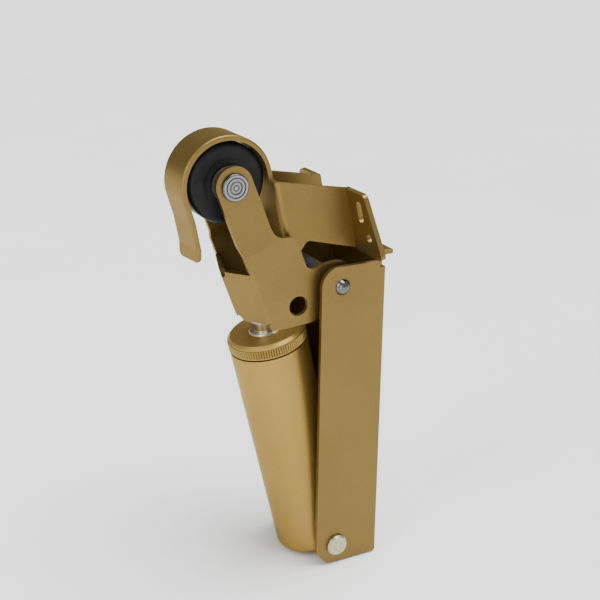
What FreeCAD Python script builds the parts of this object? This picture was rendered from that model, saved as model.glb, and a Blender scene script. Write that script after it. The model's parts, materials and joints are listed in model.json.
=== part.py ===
"""Hook-type hydraulic door closer: channel housing, roller lever, cylinder and catch hook.

Frame, millimetres: Y = 0 is the back face of the housing, which sits on the door, and the
closer stands out from the door along -Y.  X is across the housing, Z is up, and the origin
is the middle of the back face.  The lever stands at its outward rest.
"""
import math
import os

import FreeCAD
import Part

V = FreeCAD.Vector
X_AXIS = V(1, 0, 0)

# housing: a folded channel
SHEET = 2.5
HOUSING_HEIGHT = 163.0
HOUSING_WIDTH = 52.0
HOUSING_DEPTH = 36.0
FOLD_R = 1.5
TOP_ROUND_R = 9.5
FOOT_CHAMFER_Y = 6.0
FOOT_CHAMFER_Z = 7.0
CORNER_R = 2.0
LIP_HALF_WIDTH = 22.0
LIP_TOP = 85.2
LIP_REACH = 6.2
LIP_FOLD_R = 3.4
RELIEF = 3.5
SCREW_HOLE_R = 2.75
SCREW_SPACING_X = 28.0
SCREW_SPACING_Z = 104.0

# the two cross pins
PIN_Y = -24.5
LEVER_PIN_Z = 71.0
CYLINDER_PIN_Z = -71.5
PIN_R = 4.0
RUNNING_FIT = 0.06
PRESS_FIT = 0.02
SEAT_FIT = 0.01
FLAT_HEAD_R = 5.8
FLAT_HEAD_T = 2.2
FLAT_HEAD_BEVEL = 0.9
DOME_RISE = 2.6
PIN_TAIL = 3.0
GROOVE_DEPTH = 0.6
GROOVE_GAP = 0.4
SIDE_PLAY = 0.1
RETAINER_R = 7.0
RETAINER_T = 1.2
RETAINER_SLACK = 0.05
WASHER_R = 8.0

# roller lever: two cheeks folded towards each other into a pointed nose, and two arms;
# nose and arm sizes are measured from the axle, with the arms straight down
LEVER_HALF_WIDTH = 20.0
ARM_HALF_WIDTH = 16.5
ARM_LEAN = 20.6
JOGGLE_TOP = -27.5
JOGGLE_FOOT = -33.0
NOSE_FOLD_Y = -9.2
NOSE_TIP_Y = -16.5
NOSE_BACK_Y = -5.0
NOSE_TOP = -41.8
NOSE_FOOT = -69.8
NOSE_FOLD_R = 3.2
NOSE_NOTCH = 3.4
AXLE_Y = -77.4
AXLE_Z = 124.1
LOCK_HOLE_Y = -45.6
LOCK_HOLE_Z = 62.7
LOCK_HOLE_R = 5.0
BUSH_R = 5.4

# roller
ROLLER_R = 19.3
ROLLER_HALF_WIDTH = 8.6
ROLLER_EDGE_R = 2.6
HUB_R = 11.5
ROLLER_BUSH_R = 7.5
ROLLER_BUSH_HALF = 10.0
AXLE_R = 5.0
AXLE_HEAD_R = 6.6
AXLE_HEAD_T = 1.6
AXLE_HEAD_EDGE_R = 0.7
AXLE_WASHER_R = 8.6
TURNED_GROOVE = 0.35

# catch hook
HOOK_LEAN = 12.1
CURL_R = 20.6
CURL_FORWARD = 0.7
BASE_Y = 19.9
HOOK_FOLD_R = 3.0
TONGUE_TIP = -33.4
TONGUE_HALF_WIDTH = 10.8
TONGUE_EDGE_R = 1.1
TIP_CORNER_R = 3.5
WEB_HALF_WIDTH = 16.0
FLANGE_FRONT = 56.4
FLANGE_TOP = -19.5
FLANGE_FOOT = -51.5
FLANGE_HALF_TOP = 31.5
FLANGE_HALF_FOOT = 40.5
FLANGE_CORNER_R = 2.5
BASE_FOOT = -43.0
BASE_LENGTH = 20.5
SLOT_R = 2.3
SLOT_X = 25.6
SLOT_TOP = -26.0
SLOT_FOOT = -32.6
HOLE_X = 30.4
HOLE_Z = -41.6

# hydraulic cylinder, measured along its own axis from the lower pin
CYLINDER_LEAN = 13.5
CYLINDER_FORWARD = 0.8
TUBE_R = 19.7
TUBE_BORE_R = 17.0
TUBE_FOOT = -7.0
TUBE_TOP = 112.8
TUBE_EDGE_R = 4.5
FLOOR_T = 3.0
BASE_TOP = 13.0
PISTON_FOOT = 20.0
PISTON_TOP = 32.0
PISTON_GROOVE_FOOT = 25.0
PISTON_GROOVE_TOP = 28.0
PISTON_GROOVE_DEPTH = 2.0
NUT_R = 10.5
NUT_T = 4.0
GLAND_FOOT = 98.0
GLAND_GROOVE_FOOT = 104.0
GLAND_GROOVE_TOP = 107.0
GLAND_GROOVE_DEPTH = 2.6
O_RING_R = 1.2
SEAL_DEPTH = 2.2
SEAL_HEIGHT = 3.2
NECK_R = 8.4
NECK_TOP = 121.4
RING_FOOT = 113.6
RING_TOP = 120.6
RING_R = 20.0
RING_CHAMFER = 1.3
KNURL_TEETH = 96
KNURL_DEPTH = 0.55
ROD_R = 6.0
ROD_BOSS_R = 6.6
ROD_EYE_AT = 138.0
ROD_EYE_R = 7.2
ROD_EYE_PLAY = 1.3
ROD_EYE_HALF_WIDTH = 6.0
SPACER_R = 5.0
SPACER_START = 6.8
SPACER_END = 15.2
ROD_SHOULDER = 127.0
SPRING_COIL_R = 12.2
SPRING_WIRE_R = 1.7
SPRING_TURNS = 9


def outline(points, x_lo, x_hi):
    """Plate between two X planes from a closed (y, z, corner radius) outline."""
    edges = []
    starts = []
    ends = []
    count = len(points)
    for i in range(count):
        here = V(0, points[i][0], points[i][1])
        before = V(0, points[i - 1][0], points[i - 1][1])
        after = V(0, points[(i + 1) % count][0], points[(i + 1) % count][1])
        radius = points[i][2]
        if radius == 0:
            starts.append(here)
            ends.append(here)
            continue
        back = (before - here).normalize()
        ahead = (after - here).normalize()
        half = back.getAngle(ahead) / 2
        run = radius / math.tan(half)
        middle = here + (back + ahead).normalize() * (radius / math.sin(half) - radius)
        starts.append(here + back * run)
        ends.append(here + ahead * run)
        edges.append(Part.Arc(starts[-1], middle, ends[-1]).toShape())
    for i in range(count):
        stop = starts[(i + 1) % count]
        if ends[i].distanceToPoint(stop) > 1e-6:
            edges.append(Part.makeLine(ends[i], stop))
    wire = Part.Wire(Part.__sortEdges__(edges))
    plate = Part.Face(wire).extrude(V(x_hi - x_lo, 0, 0))
    plate.translate(V(x_lo, 0, 0))
    return plate


def front_outline(points, y_lo, y_hi):
    """Plate between two Y planes from a closed (x, z, corner radius) outline."""
    plate = outline(points, -y_hi, -y_lo)
    plate.rotate(V(0, 0, 0), V(0, 0, 1), -90)
    return plate


def bar(y, z, radius, x_lo, x_hi):
    """Round bar along X."""
    return Part.makeCylinder(radius, x_hi - x_lo, V(x_lo, y, z), X_AXIS)


def tube_x(y, z, radius, bore, x_lo, x_hi):
    """Round tube along X."""
    return bar(y, z, radius, x_lo, x_hi).cut(bar(y, z, bore, x_lo - 1, x_hi + 1))


def disc(radius, foot, top):
    """Round disc on the cylinder axis, before it is leaned."""
    return Part.makeCylinder(radius, top - foot, V(0, 0, foot))


def ring(radius, bore, foot, top):
    """Ring on the cylinder axis, before it is leaned."""
    return disc(radius, foot, top).cut(disc(bore, foot - 1, top + 1))


def lean_cylinder(shape):
    """Put a shape made on the cylinder axis just in front of the lower pin."""
    placed = shape.copy()
    placed.translate(V(0, -CYLINDER_FORWARD, 0))
    placed.rotate(V(0, 0, 0), X_AXIS, CYLINDER_LEAN)
    placed.translate(V(0, PIN_Y, CYLINDER_PIN_Z))
    return placed


def lean_hook(shape):
    """Put a shape made about the roller centre onto the roller."""
    placed = shape.copy()
    placed.rotate(V(0, 0, 0), X_AXIS, HOOK_LEAN)
    placed.translate(V(0, AXLE_Y, AXLE_Z))
    return placed


def edges_along(shape, direction, test):
    """Straight edges along a direction whose middle passes the test."""
    found = []
    for edge in shape.Edges:
        if len(edge.Vertexes) < 2:
            continue
        run = (edge.Vertexes[1].Point - edge.Vertexes[0].Point).normalize()
        if abs(run.dot(direction)) > 0.999 and test(edge.CenterOfMass):
            found.append(edge)
    return found


def both_sides(shape):
    """A shape together with its mirror image in X."""
    return shape.fuse(shape.mirror(V(0, 0, 0), X_AXIS))


def make_housing():
    half_w = HOUSING_WIDTH / 2
    half_h = HOUSING_HEIGHT / 2
    block = Part.makeBox(HOUSING_WIDTH, HOUSING_DEPTH, HOUSING_HEIGHT, V(-half_w, -HOUSING_DEPTH, -half_h))
    block = block.makeFillet(FOLD_R, edges_along(block, V(0, 0, 1), lambda p: p.y > -1))
    side = outline([(1, -half_h, 0), (-HOUSING_DEPTH + FOOT_CHAMFER_Y, -half_h, CORNER_R),
                    (-HOUSING_DEPTH, -half_h + FOOT_CHAMFER_Z, CORNER_R),
                    (-HOUSING_DEPTH, half_h, TOP_ROUND_R), (1, half_h, 0)], -half_w, half_w)
    room = Part.makeBox(HOUSING_WIDTH - 2 * SHEET, HOUSING_DEPTH, HOUSING_HEIGHT + 2,
                        V(-half_w + SHEET, -HOUSING_DEPTH - SHEET, -half_h - 1))
    channel = block.common(side).cut(room)
    relief = Part.makeBox(10, RELIEF + 1, 10, V(LIP_HALF_WIDTH, -RELIEF, half_h - RELIEF))
    channel = channel.cut(both_sides(relief))
    lip = outline([(-SHEET, half_h - RELIEF - 1, 0), (-SHEET, LIP_TOP, LIP_FOLD_R), (LIP_REACH, LIP_TOP, 0.6),
                   (LIP_REACH, LIP_TOP - SHEET, 0.6), (0, LIP_TOP - SHEET, 0.8),
                   (0, half_h - RELIEF - 1, 0)], -LIP_HALF_WIDTH, LIP_HALF_WIDTH)
    channel = channel.fuse(lip).removeSplitter()
    for z in (LEVER_PIN_Z, CYLINDER_PIN_Z):
        channel = channel.cut(bar(PIN_Y, z, PIN_R + PRESS_FIT, -half_w - 1, half_w + 1))
    for x in (-SCREW_SPACING_X / 2, SCREW_SPACING_X / 2):
        for z in (-SCREW_SPACING_Z / 2, SCREW_SPACING_Z / 2):
            screw = Part.makeCylinder(SCREW_HOLE_R, 10, V(x, -5, z), V(0, 1, 0))
            channel = channel.cut(screw)
    return channel


def mirrored(shape, sign):
    """The shape itself on the right side, its mirror image on the left side."""
    return shape if sign > 0 else shape.mirror(V(0, 0, 0), X_AXIS)


def pin_groove(z):
    """Groove for the retaining washer near the far end of a cross pin."""
    x = -HOUSING_WIDTH / 2 - GROOVE_GAP
    return tube_x(PIN_Y, z, PIN_R + 1, PIN_R - GROOVE_DEPTH, x - RETAINER_T, x)


def make_lever_pivot_pin():
    half_w = HOUSING_WIDTH / 2
    shank = bar(PIN_Y, LEVER_PIN_Z, PIN_R, -half_w - PIN_TAIL, half_w)
    ball_r = (PIN_R ** 2 + DOME_RISE ** 2) / (2 * DOME_RISE)
    ball = Part.makeSphere(ball_r)
    ball.translate(V(half_w + DOME_RISE - ball_r, PIN_Y, LEVER_PIN_Z))
    dome = ball.common(bar(PIN_Y, LEVER_PIN_Z, PIN_R, half_w - 0.5, half_w + DOME_RISE + 1))
    return shank.fuse(dome).removeSplitter().cut(pin_groove(LEVER_PIN_Z))


def make_cylinder_pin():
    half_w = HOUSING_WIDTH / 2
    shank = bar(PIN_Y, CYLINDER_PIN_Z, PIN_R, -half_w - PIN_TAIL, half_w + 1)
    head = bar(PIN_Y, CYLINDER_PIN_Z, FLAT_HEAD_R, half_w, half_w + FLAT_HEAD_T)
    rim = [e for e in head.Edges if e.Closed and e.CenterOfMass.x > half_w + 1]
    head = head.makeChamfer(FLAT_HEAD_BEVEL, rim)
    return shank.fuse(head).removeSplitter().cut(pin_groove(CYLINDER_PIN_Z))


def make_retainer(z):
    """Push-on washer in a pin groove, on the far cheek."""
    x = -HOUSING_WIDTH / 2 - GROOVE_GAP
    bore = PIN_R - GROOVE_DEPTH + PRESS_FIT
    return tube_x(PIN_Y, z, RETAINER_R, bore, x - RETAINER_T + RETAINER_SLACK, x - RETAINER_SLACK)


def make_pin_washer(z, inside, sign):
    """Washer on a cross pin, between what turns on it and one cheek of the housing."""
    outside = HOUSING_WIDTH / 2 - SHEET - SIDE_PLAY
    return mirrored(tube_x(PIN_Y, z, WASHER_R, PIN_R + RUNNING_FIT, inside + SIDE_PLAY, outside), sign)


def lever_frame(shape):
    """Put a shape made about the axle, with the arms straight down, onto the lever."""
    placed = shape.copy()
    placed.rotate(V(0, 0, 0), X_AXIS, ARM_LEAN)
    placed.translate(V(0, AXLE_Y, AXLE_Z))
    return placed


def make_lever_side():
    """Side view of the lever without its nose: arm, shoulder, ear over the pin, foot."""
    return outline([(-89.3, 129.9, 9), (-72.2, 136.4, 9), (-57.2, 98.1, 4), (-47.6, 97.7, 4.5),
                    (-40.5, 79.6, 4), (-32.6, 81.9, 4), (-14.2, 83.7, 11), (-14.0, 58.9, 11),
                    (-35.3, 53.3, 8), (-59.9, 51.9, 2.5)], -LEVER_HALF_WIDTH, LEVER_HALF_WIDTH)


def make_arm_strip():
    """Front view of one cheek, set in by a joggle below the roller."""
    out_low = LEVER_HALF_WIDTH
    out_high = ARM_HALF_WIDTH
    points = [V(out_low, -60, -80), V(out_low, -60, JOGGLE_FOOT), V(out_high, -60, JOGGLE_TOP),
              V(out_high, -60, 14), V(out_high - SHEET, -60, 14), V(out_high - SHEET, -60, JOGGLE_TOP + 0.5),
              V(out_low - SHEET, -60, JOGGLE_FOOT + 0.5), V(out_low - SHEET, -60, -80), V(out_low, -60, -80)]
    strip = Part.Face(Part.makePolygon(points)).extrude(V(0, 160, 0))
    return lever_frame(strip)


def make_nose():
    """Both cheeks folded in to meet at a pointed front, with a notch at each end of the seam."""
    half = LEVER_HALF_WIDTH
    slope = (NOSE_FOLD_Y - NOSE_TIP_Y) / half
    inner_tip = NOSE_TIP_Y + SHEET * math.hypot(1, slope)
    inner_half = half - SHEET
    inner_fold = inner_tip + slope * inner_half
    inner_r = NOSE_FOLD_R - SHEET
    nose = outline([(NOSE_BACK_Y, half, 0), (NOSE_FOLD_Y, half, NOSE_FOLD_R), (NOSE_TIP_Y, 0, 1.5),
                    (NOSE_FOLD_Y, -half, NOSE_FOLD_R), (NOSE_BACK_Y, -half, 0), (NOSE_BACK_Y, -inner_half, 0),
                    (inner_fold, -inner_half, inner_r), (inner_tip, 0, 0.4),
                    (inner_fold, inner_half, inner_r), (NOSE_BACK_Y, inner_half, 0)], NOSE_FOOT, NOSE_TOP)
    nose.rotate(V(0, 0, 0), V(0, 1, 0), -90)
    for z in (NOSE_FOOT, NOSE_TOP):
        notch = Part.makeCylinder(NOSE_NOTCH, 20, V(0, NOSE_TIP_Y - 5, z), V(0, 1, 0))
        nose = nose.cut(notch)
    return lever_frame(nose)


def make_roller_lever():
    nose_room = Part.makeBox(60, 30, NOSE_TOP - NOSE_FOOT, V(-30, NOSE_BACK_Y - 30, NOSE_FOOT))
    cheeks = both_sides(make_arm_strip().common(make_lever_side()))
    lever = cheeks.cut(lever_frame(nose_room)).fuse(make_nose()).removeSplitter()
    eye = rod_eye_centre()
    reach = LEVER_HALF_WIDTH + 1
    for y, z, radius in ((PIN_Y, LEVER_PIN_Z, PIN_R + RUNNING_FIT), (AXLE_Y, AXLE_Z, AXLE_R + PRESS_FIT),
                         (LOCK_HOLE_Y, LOCK_HOLE_Z, LOCK_HOLE_R), (eye.y, eye.z, PIN_R + PRESS_FIT)):
        lever = lever.cut(bar(y, z, radius, -reach, reach))
    return lever


def rod_eye_centre():
    lean = math.radians(CYLINDER_LEAN)
    y = -CYLINDER_FORWARD * math.cos(lean) - ROD_EYE_AT * math.sin(lean)
    z = -CYLINDER_FORWARD * math.sin(lean) + ROD_EYE_AT * math.cos(lean)
    return V(0, PIN_Y + y, CYLINDER_PIN_Z + z)


def make_pivot_bush():
    half = LEVER_HALF_WIDTH - SHEET - SIDE_PLAY
    return tube_x(PIN_Y, LEVER_PIN_Z, BUSH_R, PIN_R + RUNNING_FIT, -half, half)


def make_rod_pin():
    eye = rod_eye_centre()
    return bar(eye.y, eye.z, PIN_R, -LEVER_HALF_WIDTH, LEVER_HALF_WIDTH)


def make_rod_pin_spacer(sign):
    eye = rod_eye_centre()
    return mirrored(tube_x(eye.y, eye.z, SPACER_R, PIN_R + PRESS_FIT, SPACER_START, SPACER_END), sign)


def make_roller_axle():
    shank = bar(AXLE_Y, AXLE_Z, AXLE_R, -ARM_HALF_WIDTH, ARM_HALF_WIDTH)
    head = bar(AXLE_Y, AXLE_Z, AXLE_HEAD_R, ARM_HALF_WIDTH, ARM_HALF_WIDTH + AXLE_HEAD_T)
    rim = [e for e in head.Edges if e.Closed and e.CenterOfMass.x > ARM_HALF_WIDTH + 1]
    head = head.makeFillet(AXLE_HEAD_EDGE_R, rim)
    face = ARM_HALF_WIDTH + AXLE_HEAD_T
    for radius in (2.4, 4.4):
        groove = tube_x(AXLE_Y, AXLE_Z, radius + TURNED_GROOVE, radius, face - TURNED_GROOVE, face + 1)
        head = head.cut(groove)
    return shank.fuse(both_sides(head)).removeSplitter()


def make_axle_washer(sign):
    inside = ROLLER_BUSH_HALF + SIDE_PLAY
    outside = ARM_HALF_WIDTH - SHEET - SIDE_PLAY
    return mirrored(tube_x(AXLE_Y, AXLE_Z, AXLE_WASHER_R, AXLE_R + RUNNING_FIT, inside, outside), sign)


def make_roller_tyre():
    half = ROLLER_HALF_WIDTH
    tyre = bar(AXLE_Y, AXLE_Z, ROLLER_R, -half, half)
    tyre = tyre.makeFillet(ROLLER_EDGE_R, [e for e in tyre.Edges if e.Closed])
    return tyre.cut(bar(AXLE_Y, AXLE_Z, HUB_R, -half - 1, half + 1))


def make_roller_hub():
    half = ROLLER_HALF_WIDTH + 0.5
    return tube_x(AXLE_Y, AXLE_Z, HUB_R - SEAT_FIT, ROLLER_BUSH_R, -half, half)


def make_roller_bush():
    half = ROLLER_BUSH_HALF
    return tube_x(AXLE_Y, AXLE_Z, ROLLER_BUSH_R - SEAT_FIT, AXLE_R + RUNNING_FIT, -half, half)


def make_hook_tongue():
    """Base plate, curl over the roller and leg with a flared tip, as one strip with eased edges."""
    half = TONGUE_HALF_WIDTH
    base = Part.makeBox(2 * half, SHEET, BASE_LENGTH, V(-half, BASE_Y, -BASE_LENGTH))
    curl = tube_x(-CURL_FORWARD, 0, CURL_R + SHEET, CURL_R, -half, half)
    curl = curl.common(Part.makeBox(60, 60, 40, V(-30, -30, 0)))
    inner = -CURL_FORWARD - CURL_R
    outer = inner - SHEET
    leg = outline([(inner, 0, 0), (outer, 0, 0), (outer + 1.1, -12, 20), (outer + 0.9, -26, 5),
                   (outer - 1.3, -36, 0), (inner - 1.3, -36, 0), (inner + 0.9, -26, 5),
                   (inner + 1.1, -12, 20)],
                  -half, half)
    tip = front_outline([(-half, 1, 0), (half, 1, 0), (half, TONGUE_TIP + 1.6, TIP_CORNER_R),
                         (-half, TONGUE_TIP, TIP_CORNER_R)], -40, 0)
    tongue = base.fuse(curl).fuse(leg.common(tip)).removeSplitter()
    return tongue.makeFillet(TONGUE_EDGE_R, [e for e in tongue.Edges if is_outer(e)])


def is_outer(edge):
    """Edge along one side of the strip, on the face that looks away from the roller."""
    point = edge.valueAt((edge.FirstParameter + edge.LastParameter) / 2)
    across = point.y + CURL_FORWARD
    behind = point.y > 0 and point.z < 0.1
    reach = -across if point.z < 0 else math.hypot(across, point.z)
    at_side = abs(point.x) > TONGUE_HALF_WIDTH - 0.01
    return at_side and not behind and reach > CURL_R + SHEET / 2 and edge.Length > SHEET + 0.1


def make_hook_hat():
    """Folded hat behind the tongue: base, two webs and two slotted flanges."""
    inner = BASE_Y
    depth = FLANGE_FRONT + SHEET - inner
    block = Part.makeBox(2 * WEB_HALF_WIDTH, depth, 60, V(-WEB_HALF_WIDTH, inner, -60))
    block = block.makeFillet(HOOK_FOLD_R, edges_along(block, V(0, 0, 1), lambda p: p.y < inner + 1))
    inside = WEB_HALF_WIDTH - SHEET
    room = Part.makeBox(2 * inside, depth, 70, V(-inside, inner + SHEET, -65))
    webs = block.cut(room)
    side = outline([(inner - 1, -5.0, 0), (inner + 2, -5.0, 2), (FLANGE_FRONT + 10, FLANGE_TOP - 3.6, 0),
                    (FLANGE_FRONT + 10, FLANGE_FOOT, 0), (FLANGE_FRONT + SHEET, FLANGE_FOOT, 0),
                    (31.0, -37.6, 3), (26.5, BASE_FOOT + 1, 3), (inner - 1, BASE_FOOT, 0)], -60, 60)
    return webs.common(side)


def make_hook_flange():
    """One flange, wider at its foot, with a slot over a round hole."""
    inside = WEB_HALF_WIDTH - SHEET
    points = [V(inside, 0, FLANGE_TOP), V(FLANGE_HALF_TOP, 0, FLANGE_TOP),
              V(FLANGE_HALF_FOOT, 0, FLANGE_FOOT), V(inside, 0, FLANGE_FOOT), V(inside, 0, FLANGE_TOP)]
    flange = Part.Face(Part.makePolygon(points)).extrude(V(0, SHEET, 0))
    corners = edges_along(flange, V(0, 1, 0), lambda p: p.x > WEB_HALF_WIDTH + 5)
    flange = flange.makeFillet(FLANGE_CORNER_R, corners)
    for x, z in ((SLOT_X, SLOT_TOP), (SLOT_X, SLOT_FOOT), (HOLE_X, HOLE_Z)):
        flange = flange.cut(Part.makeCylinder(SLOT_R, 10, V(x, -2, z), V(0, 1, 0)))
    slot = Part.makeBox(2 * SLOT_R, 10, SLOT_TOP - SLOT_FOOT, V(SLOT_X - SLOT_R, -2, SLOT_FOOT))
    flange = flange.cut(slot)
    flange.translate(V(0, FLANGE_FRONT, 0))
    return flange


def make_hook():
    hook = make_hook_tongue().fuse(make_hook_hat()).fuse(both_sides(make_hook_flange()))
    return lean_hook(hook.removeSplitter())


def pin_bore():
    """Cross bore for the lower pin, in the frame of the cylinder axis."""
    return bar(CYLINDER_FORWARD, 0, PIN_R + RUNNING_FIT, -TUBE_R - 1, TUBE_R + 1)


def make_cylinder_tube():
    tube = disc(TUBE_R, TUBE_FOOT, TUBE_TOP)
    foot = [e for e in tube.Edges if e.Closed and e.CenterOfMass.z < TUBE_FOOT + 1]
    tube = tube.makeFillet(TUBE_EDGE_R, foot)
    tube = tube.cut(disc(TUBE_BORE_R, TUBE_FOOT + FLOOR_T, TUBE_TOP + 1)).cut(pin_bore())
    return lean_cylinder(tube)


def make_cylinder_base():
    return lean_cylinder(disc(TUBE_BORE_R - SEAT_FIT, TUBE_FOOT + FLOOR_T + 0.02, BASE_TOP).cut(pin_bore()))


def make_gland():
    body = disc(TUBE_BORE_R - SEAT_FIT, GLAND_FOOT, TUBE_TOP + 0.3)
    neck = disc(NECK_R, TUBE_TOP, NECK_TOP)
    neck = neck.makeChamfer(0.6, [e for e in neck.Edges if e.Closed and e.CenterOfMass.z > NECK_TOP - 1])
    gland = body.fuse(neck).removeSplitter().cut(disc(ROD_R + RUNNING_FIT, 0, 150))
    groove = ring(TUBE_BORE_R + 1, TUBE_BORE_R - GLAND_GROOVE_DEPTH, GLAND_GROOVE_FOOT, GLAND_GROOVE_TOP)
    seal_room = disc(ROD_R + SEAL_DEPTH, GLAND_FOOT - 1, GLAND_FOOT + SEAL_HEIGHT)
    return lean_cylinder(gland.cut(groove).cut(seal_room))


def make_gland_o_ring():
    middle = (GLAND_GROOVE_FOOT + GLAND_GROOVE_TOP) / 2
    return lean_cylinder(Part.makeTorus(TUBE_BORE_R - O_RING_R - 0.05, O_RING_R, V(0, 0, middle)))


def make_rod_seal():
    outer = ROD_R + SEAL_DEPTH - 0.05
    return lean_cylinder(ring(outer, ROD_R + PRESS_FIT, GLAND_FOOT + 0.1, GLAND_FOOT + SEAL_HEIGHT - 0.1))


def make_regulating_ring():
    points = []
    for i in range(2 * KNURL_TEETH):
        radius = RING_R if i % 2 == 0 else RING_R - KNURL_DEPTH
        turn = math.pi * i / KNURL_TEETH
        points.append(V(radius * math.cos(turn), radius * math.sin(turn), RING_FOOT + 0.5))
    points.append(points[0])
    band = Part.Face(Part.makePolygon(points)).extrude(V(0, 0, RING_TOP - RING_FOOT - 2.6))
    cap = disc(RING_R - KNURL_DEPTH, RING_FOOT, RING_TOP)
    rim = [e for e in cap.Edges if e.Closed and e.CenterOfMass.z > RING_TOP - 1]
    cap = cap.makeChamfer(RING_CHAMFER, rim)
    return lean_cylinder(cap.fuse(band).removeSplitter().cut(disc(NECK_R + 0.08, 0, 150)))


def make_piston_rod():
    return lean_cylinder(disc(ROD_R, PISTON_FOOT - NUT_T + 1, ROD_SHOULDER))


def make_rod_eye():
    half = ROD_EYE_HALF_WIDTH
    boss = disc(ROD_BOSS_R, ROD_SHOULDER + SEAT_FIT, ROD_EYE_AT - 3)
    eye = Part.makeCylinder(ROD_EYE_R, 2 * half, V(-half, 0, ROD_EYE_AT), X_AXIS)
    eye = eye.fuse(boss).removeSplitter()
    hole = Part.makeCylinder(PIN_R + ROD_EYE_PLAY, 40, V(-20, 0, ROD_EYE_AT), X_AXIS)
    return lean_cylinder(eye.cut(hole))


def make_piston():
    piston = ring(TUBE_BORE_R - RUNNING_FIT, ROD_R + SEAT_FIT, PISTON_FOOT, PISTON_TOP)
    groove_floor = TUBE_BORE_R - PISTON_GROOVE_DEPTH
    groove = ring(TUBE_BORE_R + 1, groove_floor, PISTON_GROOVE_FOOT, PISTON_GROOVE_TOP)
    return lean_cylinder(piston.cut(groove))


def make_piston_seal():
    bore = TUBE_BORE_R - PISTON_GROOVE_DEPTH + PRESS_FIT
    foot = PISTON_GROOVE_FOOT + 0.05
    return lean_cylinder(ring(TUBE_BORE_R - 0.05, bore, foot, PISTON_GROOVE_TOP - 0.05))


def make_piston_nut():
    points = []
    for i in range(7):
        turn = math.pi * i / 3
        points.append(V(NUT_R * math.cos(turn), NUT_R * math.sin(turn), PISTON_FOOT - NUT_T))
    nut = Part.Face(Part.makePolygon(points)).extrude(V(0, 0, NUT_T - PRESS_FIT))
    return lean_cylinder(nut.cut(disc(ROD_R + SEAT_FIT, 0, 50)))


def make_return_spring():
    length = GLAND_FOOT - PISTON_TOP - 2 * SPRING_WIRE_R - 0.2
    path = Part.makeHelix(length / SPRING_TURNS, length, SPRING_COIL_R)
    wire = Part.Wire([Part.Circle(V(SPRING_COIL_R, 0, 0), V(0, 1, 0), SPRING_WIRE_R).toShape()])
    coil = Part.Wire(path.Edges).makePipeShell([wire], True, True)
    coil.translate(V(0, 0, PISTON_TOP + SPRING_WIRE_R + 0.1))
    return lean_cylinder(coil)


def main():
    nodes = {
        "housing": make_housing(),
        "lever_pivot_pin": make_lever_pivot_pin(),
        "lever_pin_retainer": make_retainer(LEVER_PIN_Z),
        "pivot_washer_right": make_pin_washer(LEVER_PIN_Z, LEVER_HALF_WIDTH, 1),
        "pivot_washer_left": make_pin_washer(LEVER_PIN_Z, LEVER_HALF_WIDTH, -1),
        "cylinder_pin": make_cylinder_pin(),
        "cylinder_pin_retainer": make_retainer(CYLINDER_PIN_Z),
        "cylinder_washer_right": make_pin_washer(CYLINDER_PIN_Z, TUBE_R, 1),
        "cylinder_washer_left": make_pin_washer(CYLINDER_PIN_Z, TUBE_R, -1),
        "roller_lever": make_roller_lever(),
        "pivot_bush": make_pivot_bush(),
        "rod_pin": make_rod_pin(),
        "rod_pin_spacer_right": make_rod_pin_spacer(1),
        "rod_pin_spacer_left": make_rod_pin_spacer(-1),
        "roller_axle": make_roller_axle(),
        "axle_washer_right": make_axle_washer(1),
        "axle_washer_left": make_axle_washer(-1),
        "roller_tyre": make_roller_tyre(),
        "roller_hub": make_roller_hub(),
        "roller_bush": make_roller_bush(),
        "hook": make_hook(),
        "cylinder_tube": make_cylinder_tube(),
        "cylinder_base": make_cylinder_base(),
        "gland": make_gland(),
        "gland_o_ring": make_gland_o_ring(),
        "rod_seal": make_rod_seal(),
        "regulating_ring": make_regulating_ring(),
        "piston_rod": make_piston_rod(),
        "rod_eye": make_rod_eye(),
        "piston": make_piston(),
        "piston_seal": make_piston_seal(),
        "piston_nut": make_piston_nut(),
        "return_spring": make_return_spring(),
    }
    os.makedirs("parts", exist_ok=True)
    for name, shape in nodes.items():
        shape.exportStep("parts/" + name + ".step")
        print(name, shape.isValid(), len(shape.Solids), round(shape.Volume, 1))


main()
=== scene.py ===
import json
import math

import bmesh
import bpy
from mathutils import Matrix, Vector


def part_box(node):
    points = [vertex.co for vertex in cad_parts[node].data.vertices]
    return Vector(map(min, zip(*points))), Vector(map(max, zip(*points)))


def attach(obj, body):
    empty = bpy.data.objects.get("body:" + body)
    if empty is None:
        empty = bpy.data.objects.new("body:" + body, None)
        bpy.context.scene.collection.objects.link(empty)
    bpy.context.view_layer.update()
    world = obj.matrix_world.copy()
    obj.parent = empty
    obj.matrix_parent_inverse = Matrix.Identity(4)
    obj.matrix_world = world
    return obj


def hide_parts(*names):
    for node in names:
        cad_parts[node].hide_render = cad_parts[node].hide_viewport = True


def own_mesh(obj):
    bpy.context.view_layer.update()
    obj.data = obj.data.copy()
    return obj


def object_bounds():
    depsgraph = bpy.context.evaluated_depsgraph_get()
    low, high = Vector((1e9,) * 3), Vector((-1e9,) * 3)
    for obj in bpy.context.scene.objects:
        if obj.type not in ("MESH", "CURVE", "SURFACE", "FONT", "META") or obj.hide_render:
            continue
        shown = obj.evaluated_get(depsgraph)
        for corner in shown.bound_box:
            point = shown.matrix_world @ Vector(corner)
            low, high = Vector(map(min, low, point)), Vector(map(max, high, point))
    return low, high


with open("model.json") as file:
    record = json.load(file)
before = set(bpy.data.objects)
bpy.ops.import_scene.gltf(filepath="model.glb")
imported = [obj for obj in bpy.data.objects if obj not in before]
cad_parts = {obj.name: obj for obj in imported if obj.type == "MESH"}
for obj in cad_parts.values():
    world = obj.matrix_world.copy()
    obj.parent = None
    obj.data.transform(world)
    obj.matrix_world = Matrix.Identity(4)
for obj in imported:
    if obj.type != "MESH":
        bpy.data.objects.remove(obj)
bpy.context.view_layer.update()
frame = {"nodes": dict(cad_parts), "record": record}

MM = 0.001

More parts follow.
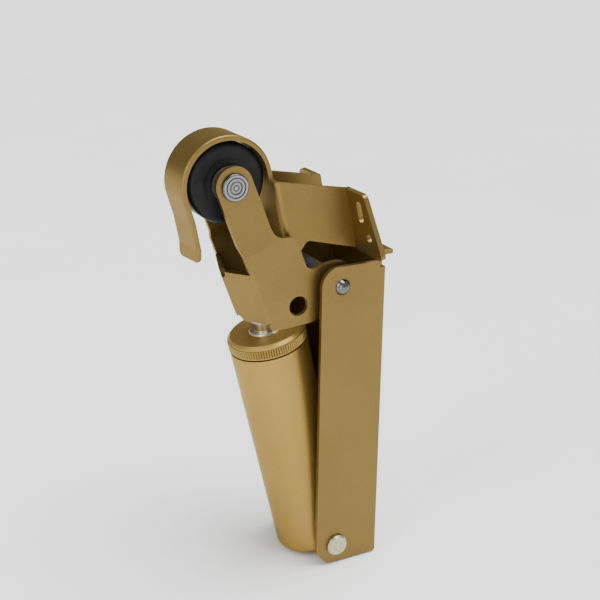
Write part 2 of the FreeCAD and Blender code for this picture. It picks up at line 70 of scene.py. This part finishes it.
# camera: where it stands, the way it looks back and its right, and its lens
CAMERA_PLACE = Vector((484.9, -299.6, 256.3)) * MM
CAMERA_BACK = Vector((0.82529, -0.45221, 0.33824))
CAMERA_RIGHT = Vector((0.47640, 0.87913, 0.01294))
CAMERA_LENS = 70.28
SENSOR_WIDTH = 36.0

# studio, in metres
FLOOR_HALF = 6.0
FLOOR_GAP = 0.5 * MM
SOFTBOX_SIZE = (0.5, 0.9)
SUN_TILT = (math.radians(-14), math.radians(8), 0)
SUN_SPREAD = math.radians(50)
SUN_STRENGTH = 5.5
LIGHT_AIM = Vector((0, -0.04, 0.02))

# colours, linear
GOLD_BASE = (0.181, 0.122, 0.0375, 1)
GOLD_LIGHT = (0.29, 0.205, 0.077, 1)
GOLD_DARK = (0.14, 0.086, 0.022, 1)
# a brighter copy of the gold lacquer for the cylinder and its ring: partly the tube's own paler paint,
# partly painted light that lifts the tube where it faces the lamps and the ring out of the shade under
# the lever
TUBE_LIT_BASE = (0.32, 0.205, 0.05, 1)
TUBE_LIT_LIGHT = (0.44, 0.30, 0.095, 1)
TUBE_LIT_DARK = (0.2, 0.125, 0.034, 1)

# the lacquer film tints what it reflects at a glancing angle
FILM_TINT = (0.9, 0.78, 0.58, 1)

# the leaning cylinder: a point on its axis, its lean, and the radii of the knurl
CYLINDER_FOOT = Vector((0, -25.28, -71.69)) * MM
CYLINDER_LEAN = math.radians(13.5)
KNURL_FOOT_R = 19.45 * MM
KNURL_TIP_R = 20.0 * MM

# easing of sharp edges, and how close points and faces must be to count as one
SHEET_EASE = 0.4 * MM
TUBE_EASE = 0.5 * MM
SAME_POINT = 0.004 * MM
SAME_FACE = math.radians(0.6)
SHARP_EDGE = math.radians(32)


# ---------------------------------------------------------------- node helpers

class Shader:
    """A node material under construction: each method adds a node and gives its output."""

    def __init__(self, name):
        self.material = bpy.data.materials.new(name)
        self.material.use_nodes = True
        self.tree = self.material.node_tree
        self.surface = self.tree.nodes["Principled BSDF"]
        self.coords = self.tree.nodes.new("ShaderNodeTexCoord").outputs["Object"]

    def node(self, kind, **settings):
        made = self.tree.nodes.new(kind)
        for key, value in settings.items():
            setattr(made, key, value)
        return made

    def link(self, source, target):
        self.tree.links.new(source, target)

    def set(self, **values):
        """Plain values on the surface shader's own sockets."""
        for key, value in values.items():
            self.surface.inputs[key.replace("_", " ")].default_value = value

    def stretched(self, scale):
        """Object coordinates stretched by a different amount along each axis."""
        made = self.node("ShaderNodeMapping")
        made.inputs["Scale"].default_value = scale
        self.link(self.coords, made.inputs["Vector"])
        return made.outputs["Vector"]

    def noise(self, scale, detail=3.0, rough=0.5, vector=None):
        made = self.node("ShaderNodeTexNoise")
        made.inputs["Scale"].default_value = scale
        made.inputs["Detail"].default_value = detail
        made.inputs["Roughness"].default_value = rough
        self.link(vector or self.coords, made.inputs["Vector"])
        return made.outputs["Fac"]

    def cells(self, scale):
        made = self.node("ShaderNodeTexVoronoi", feature="F1")
        made.inputs["Scale"].default_value = scale
        self.link(self.coords, made.inputs["Vector"])
        return made.outputs["Color"]

    def ramp(self, value, stops):
        made = self.node("ShaderNodeValToRGB")
        ramp = made.color_ramp
        while len(ramp.elements) < len(stops):
            ramp.elements.new(0.5)
        for element, (position, colour) in zip(ramp.elements, stops):
            element.position = position
            element.color = colour
        self.link(value, made.inputs["Fac"])
        return made.outputs["Color"]

    def grey(self, value, low, high, start=0.0, end=1.0):
        """A factor stretched between two levels, as a colour ramp."""
        return self.ramp(value, [(start, (low, low, low, 1)), (end, (high, high, high, 1))])

    def maths(self, operation, *values):
        made = self.node("ShaderNodeMath", operation=operation)
        for socket, value in zip(made.inputs, values):
            if isinstance(value, (int, float)):
                socket.default_value = value
            else:
                self.link(value, socket)
        return made.outputs["Value"]

    def mix(self, factor, first, second, blend="MIX"):
        made = self.node("ShaderNodeMix", data_type="RGBA", blend_type=blend)
        for index, value in ((0, factor), (6, first), (7, second)):
            socket = made.inputs[index]
            if isinstance(value, (int, float, tuple)):
                socket.default_value = value
            else:
                self.link(value, socket)
        return made.outputs[2]

    # the mask of sharp edges where the lacquer is painted paler, partly as wear and partly as a painted
    # highlight
    def worn_and_highlit_edges(self, width):
        """1 at sharp outer edges, 0 on flats, from the difference a rounded normal makes."""
        bevel = self.node("ShaderNodeBevel", samples=4)
        bevel.inputs["Radius"].default_value = width
        geometry = self.node("ShaderNodeNewGeometry")
        dot = self.node("ShaderNodeVectorMath", operation="DOT_PRODUCT")
        self.link(bevel.outputs["Normal"], dot.inputs[0])
        self.link(geometry.outputs["Normal"], dot.inputs[1])
        return self.maths("SUBTRACT", 1.0, dot.outputs["Value"])

    def rings(self, centre, pitch):
        """A wave from -1 to 1 in rings about a line along X."""
        return self.maths("SINE", self.maths("MULTIPLY", self.radius(centre), 2 * math.pi / pitch))

    def radius(self, centre, across=(0, 1, 1), turn=(0, 0, 0)):
        """Distance in metres from a line through a point, along X unless told otherwise.

        The line is square to the axes marked 1 in across, after the frame is turned.
        """
        away = self.node("ShaderNodeVectorMath", operation="SUBTRACT")
        self.link(self.coords, away.inputs[0])
        away.inputs[1].default_value = centre
        turned = self.node("ShaderNodeMapping")
        turned.inputs["Rotation"].default_value = turn
        self.link(away.outputs[0], turned.inputs["Vector"])
        flat = self.node("ShaderNodeVectorMath", operation="MULTIPLY")
        self.link(turned.outputs["Vector"], flat.inputs[0])
        flat.inputs[1].default_value = across
        length = self.node("ShaderNodeVectorMath", operation="LENGTH")
        self.link(flat.outputs[0], length.inputs[0])
        return length.outputs["Value"]

    def bump(self, height, strength, distance):
        made = self.node("ShaderNodeBump")
        made.inputs["Strength"].default_value = strength
        made.inputs["Distance"].default_value = distance
        self.link(height, made.inputs["Height"])
        previous = self.surface.inputs["Normal"].links
        if previous:
            self.link(previous[0].from_socket, made.inputs["Normal"])
        self.link(made.outputs["Normal"], self.surface.inputs["Normal"])


# ------------------------------------------------------------------- materials

def gold_lacquer(name, dark=GOLD_DARK, base=GOLD_BASE, light=GOLD_LIGHT, metal=0.92, knurled=False):
    """Gold bronze lacquer: fine metal flake in a satin film, slightly uneven, paler on sharp edges,
    partly as wear and partly as a painted highlight.
    """
    s = Shader(name)
    flake = s.node("ShaderNodeSeparateColor")
    s.link(s.cells(4200.0), flake.inputs["Color"])
    flake_tone = s.ramp(flake.outputs["Red"], [(0.0, dark), (0.5, base), (1.0, light)])
    cloud_tone = s.grey(s.noise(22.0, 4.0), 0.93, 1.05, 0.3, 0.7)
    colour = s.mix(1.0, s.mix(0.22, base, flake_tone), cloud_tone, "MULTIPLY")
    # sharp edges painted paler: partly lacquer worn thin, partly a painted highlight along the rims
    wear_and_highlight = s.grey(s.worn_and_highlit_edges(0.5 * MM), 0.0, 0.5, 0.02, 0.35)
    colour = s.mix(wear_and_highlight, colour, light)
    if knurled:
        # painted shade darkens the knurl valleys
        colour = s.mix(1.0, colour, knurl_shade(s), "MULTIPLY")
    s.link(colour, s.surface.inputs["Base Color"])
    s.link(s.grey(s.noise(130.0, 3.0), 0.37, 0.46), s.surface.inputs["Roughness"])
    s.set(Metallic=metal, Specular_IOR_Level=0.3, Specular_Tint=FILM_TINT)
    s.bump(s.noise(2400.0, 2.0, 0.5), 0.05, 0.03 * MM)
    return s.material


def knurl_shade(s):
    """Painted shade in the valleys between the teeth of the knurl, none on the top face."""
    away = s.radius(CYLINDER_FOOT, (1, 1, 0), (-CYLINDER_LEAN, 0, 0))
    depth = s.node("ShaderNodeMapRange")
    depth.inputs["From Min"].default_value = KNURL_FOOT_R
    depth.inputs["From Max"].default_value = KNURL_TIP_R
    s.link(away, depth.inputs["Value"])
    clear = (1, 1, 1, 1)
    return s.ramp(depth.outputs["Result"], [(0.0, clear), (0.04, (0.25, 0.25, 0.25, 1)), (0.8, clear)])


def turned_metal(name, colour, rough, axis_point, pitch, contrast=0.35):
    """Metal turned on a lathe: rings of lighter and darker cut about an axis along X."""
    s = Shader(name)
    rings = s.rings(axis_point, pitch)
    level = s.maths("MULTIPLY_ADD", rings, 0.5, 0.5)
    haze = s.noise(700.0, 4.0)
    bright = tuple(min(1.0, c * (1 + contrast)) for c in colour[:3]) + (1,)
    dull = tuple(c * (1 - contrast) for c in colour[:3]) + (1,)
    tone = s.ramp(level, [(0.2, dull), (0.8, bright)])
    s.link(s.mix(1.0, tone, s.grey(haze, 0.8, 1.1), "MULTIPLY"), s.surface.inputs["Base Color"])
    s.link(s.grey(s.noise(260.0, 3.0), rough * 0.8, rough * 1.25), s.surface.inputs["Roughness"])
    s.set(Metallic=1.0)
    s.bump(rings, 0.3, 0.05 * MM)
    return s.material


def drawn_metal(name, colour, rough, streak=(600, 600, 40)):
    """Plated or drawn metal with faint streaks and handling haze."""
    s = Shader(name)
    streaks = s.noise(1.0, 4.0, 0.6, s.stretched(streak))
    bright = tuple(min(1.0, c * 1.08) for c in colour[:3]) + (1,)
    dull = tuple(c * 0.86 for c in colour[:3]) + (1,)
    s.link(s.ramp(streaks, [(0.3, dull), (0.7, bright)]), s.surface.inputs["Base Color"])
    s.link(s.grey(s.noise(300.0, 3.0), rough * 0.75, rough * 1.3), s.surface.inputs["Roughness"])
    s.set(Metallic=1.0)
    s.bump(streaks, 0.06, 0.04 * MM)
    return s.material


def roller_rubber(name, centre):
    """Black polyurethane: satin, with faint moulding rings and dust."""
    s = Shader(name)
    dust = s.noise(160.0, 5.0, 0.65)
    s.link(s.ramp(dust, [(0.35, (0.004, 0.004, 0.0045, 1)), (0.75, (0.011, 0.0105, 0.01, 1))]),
           s.surface.inputs["Base Color"])
    s.link(s.grey(s.noise(90.0, 4.0), 0.38, 0.52), s.surface.inputs["Roughness"])
    s.set(Specular_IOR_Level=0.16)
    s.bump(s.rings(centre, 0.9 * MM), 0.10, 0.05 * MM)
    s.bump(s.noise(1500.0, 2.0), 0.15, 0.05 * MM)
    return s.material


def moulded_plastic(name, dark, light, rough, shine=0.4):
    """Plain moulded plastic with a fine spark-eroded grain."""
    s = Shader(name)
    s.link(s.ramp(s.noise(120.0, 4.0), [(0.3, dark), (0.7, light)]), s.surface.inputs["Base Color"])
    s.link(s.grey(s.noise(500.0, 3.0), rough * 0.85, rough * 1.15), s.surface.inputs["Roughness"])
    s.set(Specular_IOR_Level=shine)
    s.bump(s.noise(2200.0, 2.0), 0.2, 0.04 * MM)
    return s.material


def floor_material():
    s = Shader("pale_floor")
    s.link(s.ramp(s.noise(6.0, 3.0), [(0.2, (0.86, 0.86, 0.86, 1)), (0.8, (0.9, 0.9, 0.9, 1))]),
           s.surface.inputs["Base Color"])
    s.set(Roughness=0.7, Specular_IOR_Level=0.2)
    return s.material


# ---------------------------------------------------------------- the pieces

def soften(name, width, material):
    """A copy of a folded or turned CAD node with its edges eased, shown in the node's place."""
    node = frame["nodes"][name]
    mesh = node.data.copy()
    work = bmesh.new()
    work.from_mesh(mesh)
    bmesh.ops.remove_doubles(work, verts=work.verts, dist=SAME_POINT)
    bmesh.ops.dissolve_limit(work, angle_limit=SAME_FACE, verts=work.verts, edges=work.edges)
    work.to_mesh(mesh)
    work.free()
    if "custom_normal" in mesh.attributes:
        mesh.attributes.remove(mesh.attributes["custom_normal"])
    mesh.materials.clear()
    mesh.materials.append(material)
    piece = bpy.data.objects.new("eased_" + name, mesh)
    bpy.context.scene.collection.objects.link(piece)
    mesh.shade_smooth()
    bevel = piece.modifiers.new("ease", "BEVEL")
    bevel.width = width
    bevel.segments = 3
    bevel.limit_method = "ANGLE"
    bevel.angle_limit = SHARP_EDGE
    bevel.miter_outer = "MITER_ARC"
    normals = piece.modifiers.new("normals", "WEIGHTED_NORMAL")
    normals.weight = 100
    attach(piece, body_of(name))
    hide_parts(name)


def coil_spring(name, material):
    """A copy of the return spring with its material, hung on the spring's body in the node's place."""
    mesh = frame["nodes"][name].data.copy()
    mesh.materials.clear()
    mesh.materials.append(material)
    piece = bpy.data.objects.new("coiled_" + name, mesh)
    bpy.context.scene.collection.objects.link(piece)
    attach(piece, body_of(name))
    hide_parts(name)
    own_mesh(piece)


def body_of(name):
    for body, nodes in frame["record"]["behaviour"]["bodies"].items():
        if name in nodes:
            return body
    raise KeyError(name)


def middle(node):
    low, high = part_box(node)
    return (low + high) / 2


def dress(names, material):
    """Give CAD nodes a material."""
    for name in names:
        node = frame["nodes"][name]
        node.data.materials.clear()
        node.data.materials.append(material)


AXLE = tuple(middle("roller_axle"))
CYLINDER_PIN = tuple(middle("cylinder_pin"))

LACQUER = gold_lacquer("gold_lacquer")
# the brighter lacquer copy: partly own tone, partly painted light on the tube and painted-out shade on
# the ring
TUBE_LIT_LACQUER = gold_lacquer("tube_lit_lacquer", TUBE_LIT_DARK, TUBE_LIT_BASE, TUBE_LIT_LIGHT, 0.8)
dress(["rod_pin"], LACQUER)
dress(["regulating_ring"], gold_lacquer("ring_lit_lacquer", TUBE_LIT_DARK, TUBE_LIT_BASE, TUBE_LIT_LIGHT, 0.6, True))
for sheet in ("housing", "roller_lever", "hook"):
    soften(sheet, SHEET_EASE, LACQUER)
soften("cylinder_tube", TUBE_EASE, TUBE_LIT_LACQUER)
dress(["roller_tyre"], roller_rubber("roller_black", AXLE))
dress(["roller_hub"],
      moulded_plastic("hub_nylon", (0.004, 0.004, 0.0045, 1), (0.009, 0.009, 0.0095, 1), 0.45, 0.18))
dress(["pivot_bush", "pivot_washer_right", "pivot_washer_left", "cylinder_washer_right",
       "cylinder_washer_left"],
      moulded_plastic("bush_acetal", (0.008, 0.009, 0.012, 1), (0.016, 0.018, 0.024, 1), 0.3))
dress(["roller_bush"], turned_metal("bush_bronze", (0.5, 0.34, 0.16, 1), 0.4, AXLE, 0.8 * MM))
dress(["lever_pivot_pin"], drawn_metal("pin_chrome", (0.12, 0.118, 0.118, 1), 0.14))
dress(["roller_axle"], turned_metal("axle_steel", (0.17, 0.165, 0.17, 1), 0.25, AXLE, 1.7 * MM, 0.5))
dress(["cylinder_pin", "cylinder_pin_retainer", "lever_pin_retainer"],
      turned_metal("pin_zinc", (0.44, 0.4, 0.27, 1), 0.3, CYLINDER_PIN, 3.3 * MM, 0.08))
dress(["piston_rod"], drawn_metal("rod_chrome", (0.5, 0.5, 0.49, 1), 0.16))
dress(["gland"], drawn_metal("gland_alloy", (0.62, 0.55, 0.38, 1), 0.35))
STEEL = drawn_metal("plain_steel", (0.42, 0.42, 0.43, 1), 0.38)
dress(["axle_washer_right", "axle_washer_left", "rod_pin_spacer_right", "rod_pin_spacer_left", "rod_eye",
       "piston", "piston_nut", "cylinder_base"], STEEL)
coil_spring("return_spring", STEEL)
dress(["rod_seal", "gland_o_ring", "piston_seal"],
      moulded_plastic("seal_nitrile", (0.01, 0.01, 0.01, 1), (0.018, 0.018, 0.018, 1), 0.5))


# --------------------------------------------------------- floor, light, camera

def make_floor():
    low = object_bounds()[0]
    level = low.z - FLOOR_GAP
    mesh = bpy.data.meshes.new("floor")
    corners = [(x * FLOOR_HALF, y * FLOOR_HALF, level) for x, y in ((-1, -1), (1, -1), (1, 1), (-1, 1))]
    mesh.from_pydata(corners, [], [(0, 1, 2, 3)])
    floor = bpy.data.objects.new("floor", mesh)
    bpy.context.scene.collection.objects.link(floor)
    mesh.materials.append(floor_material())


def make_light(name, place, power):
    light = bpy.data.lights.new(name, "AREA")
    light.shape = "RECTANGLE"
    light.size, light.size_y = SOFTBOX_SIZE
    light.energy = power
    lamp = bpy.data.objects.new(name, light)
    lamp.location = place
    lamp.rotation_euler = (LIGHT_AIM - Vector(place)).to_track_quat("-Z", "Y").to_euler()
    bpy.context.scene.collection.objects.link(lamp)


def make_sun():
    light = bpy.data.lights.new("overhead", "SUN")
    light.energy = SUN_STRENGTH
    light.angle = SUN_SPREAD
    lamp = bpy.data.objects.new("overhead", light)
    lamp.rotation_euler = SUN_TILT
    bpy.context.scene.collection.objects.link(lamp)


def make_world():
    """White studio, dimmer towards -X: the direction's X is brought to 0..1 and goes through a ramp."""
    world = bpy.data.worlds.new("studio")
    world.use_nodes = True
    tree = world.node_tree
    background = tree.nodes["Background"]
    coords = tree.nodes.new("ShaderNodeTexCoord")
    split = tree.nodes.new("ShaderNodeSeparateXYZ")
    ramp = tree.nodes.new("ShaderNodeValToRGB")
    ramp.color_ramp.elements[0].position = 0.0
    ramp.color_ramp.elements[0].color = (0.42, 0.42, 0.42, 1)
    ramp.color_ramp.elements[1].position = 0.75
    ramp.color_ramp.elements[1].color = (0.88, 0.88, 0.88, 1)
    tree.links.new(coords.outputs["Generated"], split.inputs["Vector"])
    shift = tree.nodes.new("ShaderNodeMath")
    shift.operation = "MULTIPLY_ADD"
    shift.inputs[1].default_value = 0.5
    shift.inputs[2].default_value = 0.5
    tree.links.new(split.outputs["X"], shift.inputs[0])
    tree.links.new(shift.outputs["Value"], ramp.inputs["Fac"])
    tree.links.new(ramp.outputs["Color"], background.inputs["Color"])
    background.inputs["Strength"].default_value = 0.9
    bpy.context.scene.world = world


def make_camera():
    data = bpy.data.cameras.new("camera")
    data.lens = CAMERA_LENS
    data.sensor_width = SENSOR_WIDTH
    data.clip_start = 0.01
    camera = bpy.data.objects.new("camera", data)
    back = CAMERA_BACK.normalized()
    up = back.cross(CAMERA_RIGHT).normalized()
    turn = Matrix((up.cross(back), up, back)).transposed()
    camera.matrix_world = Matrix.Translation(CAMERA_PLACE) @ turn.to_4x4()
    bpy.context.scene.collection.objects.link(camera)
    bpy.context.scene.camera = camera


make_floor()
make_world()
make_light("key", (0.35, -1.1, 0.6), 6.0)
make_light("fill", (0.95, -0.6, 0.15), 3.9)
make_sun()
make_camera()
